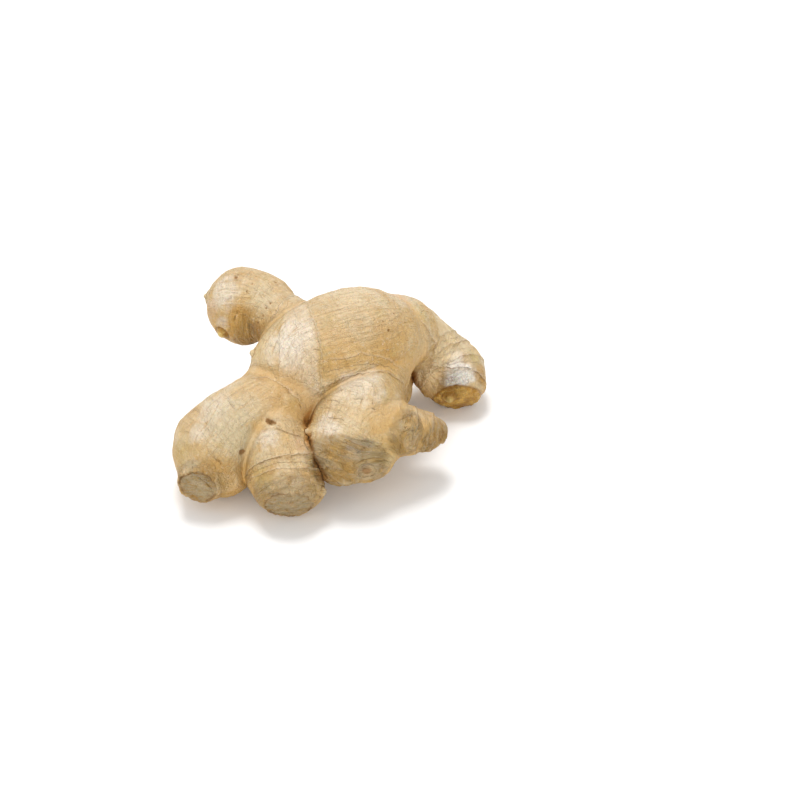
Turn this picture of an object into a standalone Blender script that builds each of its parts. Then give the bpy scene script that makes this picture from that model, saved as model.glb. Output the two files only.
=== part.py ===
"""A ginger root: one forked rhizome that lies on a table, built as one solid.

Each finger is a ball of changing size swept along a curved spine. Fingers that grow from one
another melt together, and fingers that only cross are pressed against each other with a sharp
crease. The skin is then raised by formulas: growth rings, broken ends, buds, nubs and lumps.
Lengths are in millimetres until the mesh is finished, and in Blender's metres after that.
+X is the root's long way, +Y points to its back, +Z is up, and the table is at z = 0.
"""

import math

import bmesh
import bpy
import numpy as np
from mathutils import Vector, noise

NAME = "ginger_rhizome"
MM = 0.001

# Mesh fineness
STATION_STEP = 0.6
VOXEL = 0.85
FACE_TARGET = 11200
SETTLING_STEPS = 5

# How far neighbouring fingers melt into each other where they fork, and where they only touch
FORK_BLEND = 1.2
CREASE_BLEND = 0.3

# Spine points of each finger from its root to its end: x, y, z and radius
FINGERS = {
    "trunk": [(17.5, 8, 36, 17.6), (12.5, 3, 38, 20.4), (4.5, -2, 38, 21), (-5, -4.5, 35, 19),
              (-11, -10, 31, 15.5)],
    "left_lobe": [(-8, -11, 31, 14.3), (-17, -17, 28, 13.6), (-24, -21, 25, 14.2), (-30.5, -24, 20.5, 15.5),
                  (-35.5, -27, 16.1, 16.3), (-37, -28.5, 15.4, 16.3)],
    "left_stub": [(-38, -33, 15, 10), (-41, -38.5, 13.8, 8.4), (-42.6, -43, 13.1, 7.8)],
    "left_toe": [(-17.5, -23, 25, 11), (-15.5, -31, 20.5, 12), (-14, -39, 15.8, 12.6),
                 (-11.5, -45, 11.3, 12.3)],
    "right_finger": [(18, 11, 34.5, 15), (25, 15, 34.5, 14), (31, 18.5, 30.5, 11.8), (36.5, 22, 24.5, 10.4),
                     (42.5, 23, 17.3, 10.2), (47.7, 19.5, 12.2, 11.1), (49, 16.5, 9.3, 10.2)],
    "right_shell": [(36.5, 21, 23.5, 9.3), (39, 18.6, 17.5, 8.4), (41, 16.2, 12.2, 7)],
    "back_lobe": [(-7, 6, 40, 11.5), (-17, 15, 41.5, 11), (-23, 20.5, 42, 12.5), (-29.3, 22.5, 41, 14)],
    "under_lobe": [(20.5, 11, 12.5, 11.3), (15, 15, 14, 12.6), (8, 21, 13.5, 13.2), (1, 27.5, 12.4, 12.9)],
    "middle_finger": [(19.5, 5.5, 36, 14), (16, -7, 32, 14.8), (12, -20, 27, 14.7), (8.5, -28.5, 21.5, 14),
                      (6.5, -31.5, 18, 12)],
    "middle_heel": [(14, -18.5, 28, 13.6), (16, -26.5, 23, 12.6), (16, -32.5, 18.3, 10)],
    "thumb": [(18.5, -26, 25, 11), (27, -25, 22, 9.3), (34, -23.5, 20, 7.3), (39, -22, 18.5, 5)],
}
# Fingers of one family melt together. The families share the trunk, and elsewhere they only crease.
FAMILIES = (
    ("trunk", "left_lobe", "left_stub", "left_toe", "right_finger", "right_shell", "back_lobe", "under_lobe"),
    ("trunk", "middle_finger", "middle_heel", "thumb"),
)

# Ends where a finger was broken off: a point on the break, the way it faces, its radius, its hollow and
# how far its rim is rounded
BREAKS = {
    "left_stub": {"centre": (-43, -45, 13), "facing": (-0.18, -0.98, 0), "radius": 6.9, "hollow": 0.7,
                  "rounding": 1.1},
    "left_toe": {"centre": (-11.2, -51.8, 9.2), "facing": (0.1, -0.9, -0.4), "radius": 9, "hollow": 0.3,
                 "rounding": 2.4},
    "right_finger": {"centre": (48.6, 10.6, 7.2), "facing": (-0.05, -0.93, -0.36), "radius": 8, "hollow": 1.2,
                     "rounding": 0.6},
}

# Growth rings: the fingers they run round, a point in the ring's plane, the way they grow there, and height
RINGS = [
    (("trunk",), (-14.7, -12, 49.5), (-1, 0.07, -0.14), 0.35),
    (("trunk",), (-2, -12, 53), (-0.96, -0.24, 0.1), 0.5),
    (("trunk", "middle_finger"), (16.7, -16.7, 47.4), (0.21, -0.95, -0.21), 0.25),
    (("left_lobe", "trunk"), (-14, -23, 41), (-0.4, -0.9, 0), 0.3),
    (("left_toe",), (-14, -44.3, 26), (0.25, -0.85, -0.5), 0.6),
    (("left_toe",), (-14.8, -48.5, 24.2), (0.15, -0.85, -0.5), 0.45),
    (("middle_finger", "middle_heel", "trunk"), (14.9, -20.4, 43.6), (0.25, -0.95, -0.15), 0.35),
    (("thumb",), (27.6, -34, 26), (1, 0.1, -0.1), 0.7),
    (("thumb",), (33, -29, 26), (1, 0, -0.05), 0.5),
    (("thumb",), (38.2, -27, 22), (1, -0.1, -0.05), 0.4),
    (("right_finger", "right_shell"), (37, 8, 31), (0.79, -0.52, -0.31), 0.55),
    (("right_finger", "right_shell"), (38.1, 10.2, 25.8), (0.65, -0.68, -0.32), 0.6),
    (("right_finger", "right_shell"), (41.5, 11, 22), (0.45, -0.85, -0.25), 0.5),
    (("right_finger", "right_shell"), (47, 12, 19.5), (0.1, -0.98, -0.1), 0.65),
    (("back_lobe",), (-14, 12, 42), (-0.8, 0.58, 0.05), 0.3),
    (("under_lobe",), (13, 17, 14), (-0.77, 0.64, 0), 0.4),
    (("under_lobe",), (7, 22, 13.5), (-0.74, 0.67, 0), 0.55),
    (("under_lobe",), (1.5, 27.5, 13), (-0.7, 0.7, -0.1), 0.5),
]
# How far before a ring its lip rises, how soon it drops past it, and the groove's share of its height
RING_RISE = 2.4
RING_DROP = 1.0
RING_GROOVE = 0.5

# Buds, torn flakes, nubs and two low swellings: a point near the skin, radius and height
KNOBS = [
    ((-36.7, 11.2, 37.6), 2.1, 2.1),
    ((-43, 24, 44), 1.2, 1.4),
    ((-24.3, -5.5, 41), 1.4, 1.7),
    ((-4, -32, 27.2), 1.5, 2.2),
    ((0.5, -47, 12.5), 1.6, 1.6),
    ((45.7, 10.3, 7.6), 1.9, 1.8),
    ((9, -26, 40.3), 6, 0.7),
    ((17, -24.3, 41.5), 7, 0.9),
]
# Round scars with a raised ragged rim: centre near the skin, radius, rim height and sunk depth
SCARS = [
    ((15.8, -42.7, 18.8), 4.0, 0.9, 0.35),
    ((10, 24, 46), 5.5, 0.9, 0.6),
    ((-6.5, 37, 15), 5.0, 0.8, 0.4),
]

# Low swellings of the whole skin: wavelength and height
LUMPS = ((16.0, 0.95), (6.5, 0.4))

# Where the middle of the finished root's box lies among the spines; the mesh is moved so that it is x = y = 0
MIDDLE = (3.4, -6.3)

SKIN_COLOUR = (0.56, 0.40, 0.22, 1)
SKIN_ROUGHNESS = 0.5


def spine(points):
    """Stations down a Catmull-Rom curve: centres, radii, tangents and the way left to the curve's end."""
    knots = np.array(points, float)
    ends = np.vstack([2 * knots[0] - knots[1], knots, 2 * knots[-1] - knots[-2]])
    stations = [knots[0]]
    for before, start, stop, after in zip(ends, ends[1:], ends[2:], ends[3:]):
        count = max(2, math.ceil(np.linalg.norm((stop - start)[:3]) / STATION_STEP))
        for t in np.linspace(0, 1, count + 1)[1:]:
            stations.append(0.5 * (2 * start + (stop - before) * t
                                   + (2 * before - 5 * start + 4 * stop - after) * t ** 2
                                   + (3 * start - before - 3 * stop + after) * t ** 3))
    stations = np.array(stations)
    centres, radii = stations[:, :3], stations[:, 3]
    tangents = np.gradient(centres, axis=0)
    tangents /= np.linalg.norm(tangents, axis=1)[:, None]
    steps = np.linalg.norm(np.diff(centres, axis=0), axis=1)
    along = np.concatenate([[0], np.cumsum(steps)])
    return {"centres": centres, "radii": radii, "tangents": tangents, "along": along - along[-1]}


SPINES = {name: spine(points) for name, points in FINGERS.items()}


def unit(vector):
    return np.array(vector, float) / np.linalg.norm(vector)


def sweep(points, name):
    """Distance from one finger's skin, the outward direction, and the way along it past its end's centre."""
    curve = SPINES[name]
    gaps = np.sqrt(np.maximum(
        (points ** 2).sum(1)[:, None] + (curve["centres"] ** 2).sum(1) - 2 * points @ curve["centres"].T, 0))
    nearest = (gaps - curve["radii"]).argmin(1)
    offset = points - curve["centres"][nearest]
    reach = np.linalg.norm(offset, axis=1)
    along = curve["along"][nearest] + (offset * curve["tangents"][nearest]).sum(1)
    distance, outward = reach - curve["radii"][nearest], offset / np.maximum(reach, 1e-9)[:, None]
    if name in BREAKS:
        facing = unit(BREAKS[name]["facing"])
        rounding = BREAKS[name]["rounding"]
        ahead = (points - BREAKS[name]["centre"]) @ facing
        step = (distance - ahead) / rounding
        flat = 1 / (1 + np.exp(np.clip(step, -50, 50)))
        distance = np.maximum(distance, ahead) + rounding * np.log1p(np.exp(-np.abs(step)))
        outward = outward * (1 - flat)[:, None] + facing * flat[:, None]
    return distance, outward, along


def melt(distances, directions, blend):
    """Smooth union of several skins: its distance, outward direction and each skin's share."""
    distances = np.array(distances)
    least = distances.min(0)
    shares = np.exp((least - distances) / blend)
    total = shares.sum(0)
    shares = shares / total
    outward = (shares[:, :, None] * np.array(directions)).sum(0)
    return least - blend * np.log(total), outward, shares


def skin(points):
    """Distance from the whole root's smooth skin, its outward direction and each finger's share of it."""
    swept = {name: sweep(points, name) for name in FINGERS}
    families = [melt([swept[n][0] for n in family], [swept[n][1] for n in family], FORK_BLEND)
                for family in FAMILIES]
    distance, outward, halves = melt([f[0] for f in families], [f[1] for f in families], CREASE_BLEND)
    shares = dict.fromkeys(FINGERS, 0)
    for family, (_, _, own), half in zip(FAMILIES, families, halves):
        for name, share in zip(family, own):
            shares[name] = shares[name] + half * share
    return distance, outward, shares


def settled(points):
    """The points moved onto the smooth skin."""
    points = np.array(points, float)
    for _ in range(SETTLING_STEPS):
        distance, outward, _ = skin(points)
        points = points - outward * distance[:, None]
    return points


def lumps(points, wavelength):
    """Soft random swellings between about -1 and 1 that always fall in the same places."""
    return np.array([noise.noise(Vector(p / wavelength)) for p in points])


def relief(points, shares):
    """How far the skin stands out from its smooth form at each point."""
    height = sum(size * lumps(points, wavelength) for wavelength, size in LUMPS)
    wander = 1.6 * lumps(points + 40, 9)
    for names, centre, facing, size in RINGS:
        past = (points - centre) @ unit(facing) + wander
        drop = (1 + RING_GROOVE) * np.exp(-(past / RING_DROP) ** 2)
        groove = RING_GROOVE * np.exp(-(past / RING_DROP / 2) ** 2)
        lip = np.where(past < 0, np.exp(np.minimum(past, 0) / RING_RISE), drop - groove)
        height = height + size * lip * sum(shares[name] for name in names) ** 2
    for spot in BREAKS.values():
        away = points - spot["centre"]
        ahead = away @ unit(spot["facing"])
        out = np.linalg.norm(away, axis=1) / spot["radius"]
        near = np.exp(-(ahead / 3) ** 2)
        rough = lumps(points - 20, 3)
        height = height - spot["hollow"] * near / (1 + np.exp((out - 0.86) * 18))
        height = height + (0.45 + 0.35 * rough) * near * np.exp(-((out - 1.04) / 0.13) ** 2)
        height = height + 0.4 * rough * near / (1 + np.exp((out - 0.9) * 10))
    for centre, radius, size in KNOBS:
        out = np.linalg.norm(points - settled([centre]), axis=1) / radius
        height = height + size * np.exp(-out ** 2.6)
    for centre, radius, size, sunk in SCARS:
        out = np.linalg.norm(points - settled([centre]), axis=1) / radius
        height = height + size * np.exp(-((out - 1) / 0.22) ** 2) - sunk / (1 + np.exp((out - 0.75) * 14))
    return height


def rough_finger(mesh, name):
    """Bends a ball into the finger's rough form: round caps at both ends of the spine."""
    curve = SPINES[name]
    first, last = curve["radii"][0], curve["radii"][-1]
    length = -curve["along"][0]
    made = bmesh.ops.create_uvsphere(mesh, u_segments=28, v_segments=36, radius=1)
    for vertex in made["verts"]:
        way = -first + (vertex.co.z + 1) / 2 * (first + length + last)
        station = int(np.abs(curve["along"] - (way - length)).argmin())
        over = way - length if way > length else min(way, 0)
        radius = math.sqrt(max(curve["radii"][station] ** 2 - over ** 2, 0))
        tangent = Vector(curve["tangents"][station])
        side = tangent.cross(Vector((0.31, 0.17, 0.94))).normalized()
        around = math.atan2(vertex.co.y, vertex.co.x)
        spoke = side * math.cos(around) + tangent.cross(side) * math.sin(around)
        pole = math.hypot(vertex.co.x, vertex.co.y) < 1e-6
        vertex.co = Vector(curve["centres"][station]) + tangent * over + spoke * (0 if pole else radius)


def baked(obj):
    """Applies the object's modifiers."""
    graph = bpy.context.evaluated_depsgraph_get()
    obj.data = bpy.data.meshes.new_from_object(obj.evaluated_get(graph))
    obj.modifiers.clear()


def corners_of(obj):
    points = np.empty(len(obj.data.vertices) * 3)
    obj.data.vertices.foreach_get("co", points)
    return points.reshape(-1, 3)


def place(obj, points):
    obj.data.vertices.foreach_set("co", points.ravel())
    obj.data.update()


def skin_material():
    material = bpy.data.materials.new("ginger_skin")
    material.use_nodes = True
    shader = material.node_tree.nodes["Principled BSDF"]
    shader.inputs["Base Color"].default_value = SKIN_COLOUR
    shader.inputs["Roughness"].default_value = SKIN_ROUGHNESS
    shader.inputs["Metallic"].default_value = 0
    return material


def main():
    for old in list(bpy.data.objects):
        bpy.data.objects.remove(old)
    mesh = bmesh.new()
    for name in FINGERS:
        rough_finger(mesh, name)
    data = bpy.data.meshes.new(NAME)
    mesh.to_mesh(data)
    mesh.free()
    obj = bpy.data.objects.new(NAME, data)
    bpy.context.scene.collection.objects.link(obj)
    voxels = obj.modifiers.new("Voxels", "REMESH")
    voxels.mode = "VOXEL"
    voxels.voxel_size = VOXEL
    baked(obj)

    points = settled(corners_of(obj))
    _, outward, shares = skin(points)
    outward /= np.linalg.norm(outward, axis=1)[:, None]
    points = points + outward * relief(points, shares)[:, None]
    place(obj, points * MM)

    obj.modifiers.new("Fewer", "DECIMATE").ratio = FACE_TARGET / 2 / len(obj.data.polygons)
    baked(obj)
    points = corners_of(obj)
    points[:, 2] = np.maximum(points[:, 2], 0)
    points[:, :2] -= np.array(MIDDLE) * MM
    place(obj, points)
    obj.data.materials.append(skin_material())
    obj.data.shade_smooth()


main()
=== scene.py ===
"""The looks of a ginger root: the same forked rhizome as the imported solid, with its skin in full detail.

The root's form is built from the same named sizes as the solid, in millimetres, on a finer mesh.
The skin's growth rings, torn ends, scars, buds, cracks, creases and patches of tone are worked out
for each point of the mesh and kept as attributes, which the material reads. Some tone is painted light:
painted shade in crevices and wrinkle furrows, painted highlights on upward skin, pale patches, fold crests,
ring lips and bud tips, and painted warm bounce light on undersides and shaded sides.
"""

import math

import bmesh
import bpy
import numpy as np
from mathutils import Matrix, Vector, noise


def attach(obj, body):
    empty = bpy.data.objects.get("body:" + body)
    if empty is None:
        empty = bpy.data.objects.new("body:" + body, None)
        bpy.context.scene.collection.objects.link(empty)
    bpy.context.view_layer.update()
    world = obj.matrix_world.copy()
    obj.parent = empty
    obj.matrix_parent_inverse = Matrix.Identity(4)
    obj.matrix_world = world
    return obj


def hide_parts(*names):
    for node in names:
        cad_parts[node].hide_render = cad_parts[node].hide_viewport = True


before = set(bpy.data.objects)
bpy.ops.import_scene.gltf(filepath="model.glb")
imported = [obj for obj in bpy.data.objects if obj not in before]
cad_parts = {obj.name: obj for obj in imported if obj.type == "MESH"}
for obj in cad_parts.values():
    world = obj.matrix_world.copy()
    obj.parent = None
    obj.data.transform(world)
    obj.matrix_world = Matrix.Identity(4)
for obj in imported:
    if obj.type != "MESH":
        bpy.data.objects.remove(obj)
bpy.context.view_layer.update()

NODE = "ginger_rhizome"
MM = 0.001

# Fineness of the skin's mesh
STATION_STEP = 0.6
VOXEL = 0.62
SETTLING_STEPS = 5

# The photograph's view: how far above the horizon it looks from, what it looks at among the spines, how far
# off it is, and how many of the picture's points a millimetre takes there
VIEW_RISE = math.radians(40)
VIEW_TARGET = (27.5, 17.6, 0)
VIEW_DISTANCE = 750
PICTURE_WIDTH = 800
POINTS_PER_MM = 2.65
SENSOR = 36
# Following a line of sight onto the skin: where it starts before the point looked at, the steps, and the
# share of the distance to the skin that each step goes
SIGHT_START = 120
SIGHT_STEPS = 90
SIGHT_STRIDE = 0.6

# How far neighbouring fingers melt into each other where they fork, and where they only touch
FORK_BLEND = 1.2
CREASE_BLEND = 0.3

# Spine points of each finger from its root to its end: x, y, z and radius
FINGERS = {
    "trunk": [(17.5, 8, 36, 17.6), (12.5, 3, 38, 20.4), (4.5, -2, 38, 21), (-5, -4.5, 35, 19),
              (-11, -10, 31, 15.5)],
    "left_lobe": [(-8, -11, 31, 14.3), (-17, -17, 28, 13.6), (-24, -21, 25, 14.2), (-30.5, -24, 20.5, 15.5),
                  (-35.5, -27, 16.1, 16.3), (-37, -28.5, 15.4, 16.3)],
    "left_stub": [(-38, -33, 15, 10), (-41, -38.5, 13.8, 8.4), (-42.6, -43, 13.1, 7.8)],
    "left_toe": [(-17.5, -23, 25, 11), (-15.5, -31, 20.5, 12), (-14, -39, 15.8, 12.6),
                 (-11.5, -45, 11.3, 12.3)],
    "right_finger": [(18, 11, 34.5, 15), (25, 15, 34.5, 14), (31, 18.5, 30.5, 11.8), (36.5, 22, 24.5, 10.4),
                     (42.5, 23, 17.3, 10.2), (47.7, 19.5, 12.2, 11.1), (49, 16.5, 9.3, 10.2)],
    "right_shell": [(36.5, 21, 23.5, 9.3), (39, 18.6, 17.5, 8.4), (41, 16.2, 12.2, 7)],
    "back_lobe": [(-7, 6, 40, 11.5), (-17, 15, 41.5, 11), (-23, 20.5, 42, 12.5), (-29.3, 22.5, 41, 14)],
    "under_lobe": [(20.5, 11, 12.5, 11.3), (15, 15, 14, 12.6), (8, 21, 13.5, 13.2), (1, 27.5, 12.4, 12.9)],
    "middle_finger": [(19.5, 5.5, 36, 14), (16, -7, 32, 14.8), (12, -20, 27, 14.7), (8.5, -28.5, 21.5, 14),
                      (6.5, -31.5, 18, 12)],
    "middle_heel": [(14, -18.5, 28, 13.6), (16, -26.5, 23, 12.6), (16, -32.5, 18.3, 10)],
    "thumb": [(18.5, -26, 25, 11), (27, -25, 22, 9.3), (34, -23.5, 20, 7.3), (39, -22, 18.5, 5)],
}
# Fingers of one family melt together. The families share the trunk, and elsewhere they only crease.
FAMILIES = (
    ("trunk", "left_lobe", "left_stub", "left_toe",
     "right_finger", "right_shell", "back_lobe", "under_lobe"),
    ("trunk", "middle_finger", "middle_heel", "thumb"),
)

# The grain: how far it blends along a spine, a way that no finger runs, from which each finger's sides are
# worked out, the smallest share of a finger that counts, and the shares between which its grain comes in
GRAIN_BLEND = 2.0
SIDEWAYS = (0.31, 0.17, 0.94)
LEAST_SHARE = 0.01
ALONE_FADE = (0.6, 0.95)
# Fingers whose grain runs on from one to the other
TWINS = (
    ("trunk",), ("left_lobe", "left_stub"), ("left_toe",), ("right_finger", "right_shell"),
    ("back_lobe",), ("under_lobe",), ("middle_finger", "middle_heel"), ("thumb",),
)

# Ends where a finger was broken off: a point on the break, the way it faces, its radius, how deep its
# middle is hollowed, how far its rim is rounded, how torn its face is, and how high its middle swells
BREAKS = {
    "left_stub": {
        "centre": (-43, -45, 13), "facing": (-0.18, -0.98, 0), "radius": 6.9,
        "hollow": 0.7, "rounding": 1.1, "torn": 1.0, "swollen": 0.0,
    },
    "left_toe": {
        "centre": (-11.2, -51.8, 9.2), "facing": (0.1, -0.9, -0.4), "radius": 9,
        "hollow": 0.3, "rounding": 2.4, "torn": 1.0, "swollen": 0.0,
    },
    "right_finger": {
        "centre": (48.6, 10.6, 7.2), "facing": (-0.05, -0.93, -0.36), "radius": 8,
        "hollow": 0.3, "rounding": 0.6, "torn": 0.3, "swollen": 1.6,
    },
}
# How far before and behind its plane a broken end is marked, and where its hollow ends and how steeply,
# by the way out from its middle, which is 1 at its rim
END_REACH = 3
HOLLOW_EDGE = 0.86
HOLLOW_STEEPNESS = 18
# The raised rim's place and width, and where the torn face ends
END_RIM = (1.02, 0.1)
TEAR_FADE = (0.85, 1)
# How much the coarse and the fine tears sway the way out, and the height of the rim and of the torn face
END_SWAY = (0.09, 0.06)
END_RIM_HEIGHT = 0.45
END_RIM_TEARS = (0.6, 0.7)
END_FACE_TEARS = (0.35, 0.3)
# Nearness to a broken end's plane from which the skin counts as part of the end
END_NEARNESS = 0.4
# A way out that is off every broken end, scar and bud
FAR_OUT = 3.0

# Growth rings: the fingers they run round, a point in the ring's plane, the way they grow there,
# their height, how brown the line under their edge is, and how far from the point they reach
RINGS = [
    (("trunk",), (-14.7, -12, 49.5), (-1, 0.07, -0.14), 0.2, 0.05, 60),
    (("trunk",), (-2, -12, 53), (-0.96, -0.24, 0.1), 0.22, 0.05, 60),
    (("trunk", "middle_finger"), (16.7, -16.7, 47.4), (0.21, -0.95, -0.21), 0.1, 0, 18),
    (("left_lobe", "trunk"), (-14, -23, 41), (-0.4, -0.9, 0), 0.3, 0.3, 12),
    (("left_toe",), (-14, -44.3, 26), (0.25, -0.85, -0.5), 0.5, 0.7, 60),
    (("left_toe",), (-14.8, -48.5, 24.2), (0.15, -0.85, -0.5), 0.35, 0.3, 60),
    (("middle_finger", "middle_heel", "trunk"), (14.9, -20.4, 43.6), (0.25, -0.95, -0.15), 0.2, 0.5, 24),
    (("thumb",), (27.6, -34, 26), (1, 0.1, -0.1), 0.6, 0.5, 60),
    (("thumb",), (33, -29, 26), (1, 0, -0.05), 0.45, 0.4, 60),
    (("thumb",), (38.2, -27, 22), (1, -0.1, -0.05), 0.35, 0.4, 60),
    (("right_finger", "right_shell"), (37, 8, 31), (0.79, -0.52, -0.31), 0.35, 0.2, 60),
    (("right_finger", "right_shell"), (38.1, 10.2, 25.8), (0.65, -0.68, -0.32), 0.4, 0.35, 60),
    (("right_finger", "right_shell"), (41.5, 11, 22), (0.45, -0.85, -0.25), 0.35, 0.35, 60),
    (("right_finger", "right_shell"), (47, 12, 19.5), (0.1, -0.98, -0.1), 0.5, 0.6, 60),
    (("back_lobe",), (-14, 12, 42), (-0.8, 0.58, 0.05), 0.3, 0.2, 60),
    (("under_lobe",), (13, 17, 14), (-0.77, 0.64, 0), 0.5, 0.7, 60),
    (("under_lobe",), (7, 22, 13.5), (-0.74, 0.67, 0), 0.6, 0.8, 60),
    (("under_lobe",), (1.5, 27.5, 13), (-0.7, 0.7, -0.1), 0.6, 0.8, 60),
]
# How far before a ring its lip rises, how soon it drops past it, and the groove's share of its height
RING_RISE = 2.4
RING_DROP = 0.7
RING_GROOVE = 0.5
# A ring further off than this, or weaker than this, doesn't mark the skin
RING_REACH = 9.0
RING_LEAST = 0.2
# How strongly the lips' height varies, and between what limits
RING_FRAY = 0.9
FRAY_LIMITS = (0.3, 1.7)

# Buds, torn flakes, nubs and two low swellings: a point near the skin, radius and height
KNOBS = [
    ((-36.7, 11.2, 37.6), 2.1, 2.1),
    ((-43, 24, 44), 1.2, 1.4),
    ((-24.3, -5.5, 41), 1.4, 1.7),
    ((-4, -32, 27.2), 1.5, 2.2),
    ((0.5, -47, 12.5), 1.6, 1.6),
    ((45.6, 9.6, 9.4), 2.3, 2.2),
    ((9, -26, 40.3), 6, 0.7),
    ((17, -24.3, 41.5), 7, 0.9),
]
KNOB_BLUNTNESS = 2.6
# A knob narrower than this is a bud. The ring round its foot has a place and width in the bud's radii, and
# a share of its height.
BUD_RADIUS = 2.5
BUD_FOOT = (1.7, 0.3)
BUD_FOOT_SHARE = 0.25
# Round scars with a raised ragged rim: centre near the skin, radius, rim height and sunk depth
SCARS = [
    ((15.8, -42.7, 18.8), 4.0, 0.9, 0.35),
    ((10, 24, 46), 5.5, 0.9, 0.6),
    ((-6.5, 37, 15), 5.0, 0.8, 0.4),
]
# By the way out from a scar's middle: the place and width of its rim, of the fainter rim outside it and of
# the eye in its middle, and where its sunk floor ends and how steeply
SCAR_RIM = (1, 0.22)
SCAR_OUTER_RIM = (1.6, 0.2)
SCAR_EYE = (0, 0.3)
SCAR_FLOOR_EDGE = 0.75
SCAR_FLOOR_STEEPNESS = 14
# How much the coarse and the fine tears sway that way out, and the rim's own height with their part in it
SCAR_SWAY = (0.16, 0.08)
SCAR_RIM_HEIGHT = 0.7
SCAR_RIM_TEARS = (0.8, 0.5)
# The outer rim and the eye have half of the rim's size. The coarse tears break the outer rim up.
SCAR_FAINTER = 0.5
SCAR_OUTER_HEIGHT = 0.3
SCAR_OUTER_TEARS = 1.2
# Low swellings of the whole skin: wavelength and height. The last three are finer than the solid's.
LUMPS = ((16.0, 0.95), (6.5, 0.4), (3.0, 0.16), (1.7, 0.09), (1.2, 0.05))

# Random unevenness of single features: the noise's place and wavelength, and for some how strong it is
RING_FRAYING = (15, 2.3)
RING_SWAY = (40, 9)
RING_WOBBLE = (70, 1.8)
RING_WOBBLE_SIZE = 0.4
COARSE_TEARS = (-20, 3)
FINE_TEARS = (-50, 1.3)
CRACK_WOBBLE = (7, 1.4)
CRACK_WOBBLE_SIZE = 0.25
FOLD_WARP = (33, 3.5)
FOLD_WARP_SIZE = 0.8
FOLD_VARIETY = (63, 4)
PATCH_SWAY = (90, 5)
PATCH_SWAY_SIZE = 0.5
PATCH_FRINGE = (22, 1.8)
PATCH_FRINGE_SIZE = 0.35

# Where the skin is wrinkled across its growth: middle, reach along x, y and z, and the folds' height
WRINKLES = [
    ((8, -41, 19), (17, 11, 14), 1.0),
    ((27, -30, 25), (9, 9, 9), 1.0),
    ((39, -27, 19), (9, 8, 8), 0.7),
    ((-12, -50, 13), (14, 6, 12), 0.6),
    ((-42, -43, 14), (11, 7, 11), 0.5),
    ((47.5, 11, 14), (7, 6, 7), 0.35),
    ((-24, 12, 38), (13, 10, 12), 0.4),
    ((-3, 33, 13), (12, 10, 12), 0.5),
]
WRINKLE_FADE = (0.5, 1.1)
# A fold's size along the growth and in the two ways across it, how sharp it is, its height and its limits
FOLD_SIZE = (2.0, 7.0, 7.0)
FOLD_SHARPNESS = 2.4
FOLD_HEIGHT = 0.7
FOLD_LIMITS = (0.1, 1.5)

# Cracks and torn edges, by the photograph's points they pass through, with width and depth in millimetres
CRACKS = [
    ([(180, 478), (187, 476), (192, 473), (197, 478), (206, 484), (211, 490)], 0.4, 0.5),
    ([(192, 467), (192, 475)], 0.35, 0.5),
    ([(214, 458), (220, 462), (222, 466)], 0.35, 0.35),
    ([(264, 419), (270, 422), (275, 420)], 0.9, 0.6),
    ([(277, 428), (289, 433), (301, 436)], 0.45, 0.4),
    ([(297, 393), (299, 404), (305, 416), (307, 425)], 0.35, 0.35),
    ([(288, 412), (296, 421), (301, 433)], 0.3, 0.25),
    ([(266, 488), (269, 494), (272, 497)], 0.4, 0.4),
    ([(277, 485), (278, 493)], 0.5, 0.45),
    ([(264, 507), (271, 512), (285, 515)], 0.4, 0.4),
    ([(312, 436), (305, 441), (307, 449)], 0.4, 0.5),
    ([(332, 401), (338, 402), (340, 404)], 0.3, 0.3),
    ([(350, 400), (362, 400), (361, 403)], 0.3, 0.3),
    ([(373, 409), (380, 411), (384, 415)], 0.3, 0.35),
    ([(329, 418), (342, 419), (344, 421)], 0.3, 0.35),
    ([(362, 441), (372, 442), (378, 447)], 0.4, 0.5),
    ([(383, 439), (382, 447), (387, 453)], 0.35, 0.45),
    ([(347, 453), (355, 455), (365, 448)], 0.35, 0.4),
    ([(337, 450), (339, 458), (342, 465), (348, 472)], 0.35, 0.4),
    ([(312, 467), (322, 469), (330, 467)], 0.4, 0.5),
    ([(406, 385), (407, 399)], 0.4, 0.45),
    ([(399, 372), (405, 380)], 0.3, 0.25),
    ([(398, 431), (400, 438), (399, 447)], 0.45, 0.5),
    ([(400, 420), (407, 417), (417, 413), (422, 413)], 0.35, 0.35),
    ([(417, 415), (418, 425), (415, 432)], 0.3, 0.35),
    ([(427, 420), (430, 432), (423, 438)], 0.35, 0.35),
    ([(433, 422), (439, 431)], 0.3, 0.3),
    ([(404, 431), (409, 429), (413, 433), (411, 438)], 0.35, 0.4),
    ([(317, 350), (314, 350)], 0.5, 0.35),
    ([(237, 313), (234, 320)], 0.4, 0.4),
    ([(256, 317), (262, 319)], 0.4, 0.35),
    ([(235, 276), (241, 274)], 0.6, 0.3),
    ([(267, 300), (272, 303)], 0.6, 0.35),
    ([(273, 308), (277, 312)], 0.5, 0.3),
    ([(231, 293), (235, 292)], 0.6, 0.3),
    ([(227, 299), (231, 298)], 0.5, 0.3),
    ([(251, 326), (255, 330)], 0.7, 0.35),
]
# Marks on each stretch of a crack, how far from them the skin is looked at, and how soon a crack ends
# beyond its last mark
CRACK_MARKS = 11
CRACK_SURROUNDINGS = 4
CRACK_TAIL = 0.8
# Shares of a crack's depth that its floor sinks and the lip beside it rises
CRACK_FLOOR = 0.6
CRACK_LIP = 0.45
# In the crack's widths: the lip's place, how far off the relief and the dark line end, and a way across
# that is off every crack
CRACK_LIP_PLACE = 2.2
CRACK_SPAN = 5
CRACK_LINE_SPAN = 3.5
CRACK_FAR = 6.0
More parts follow.
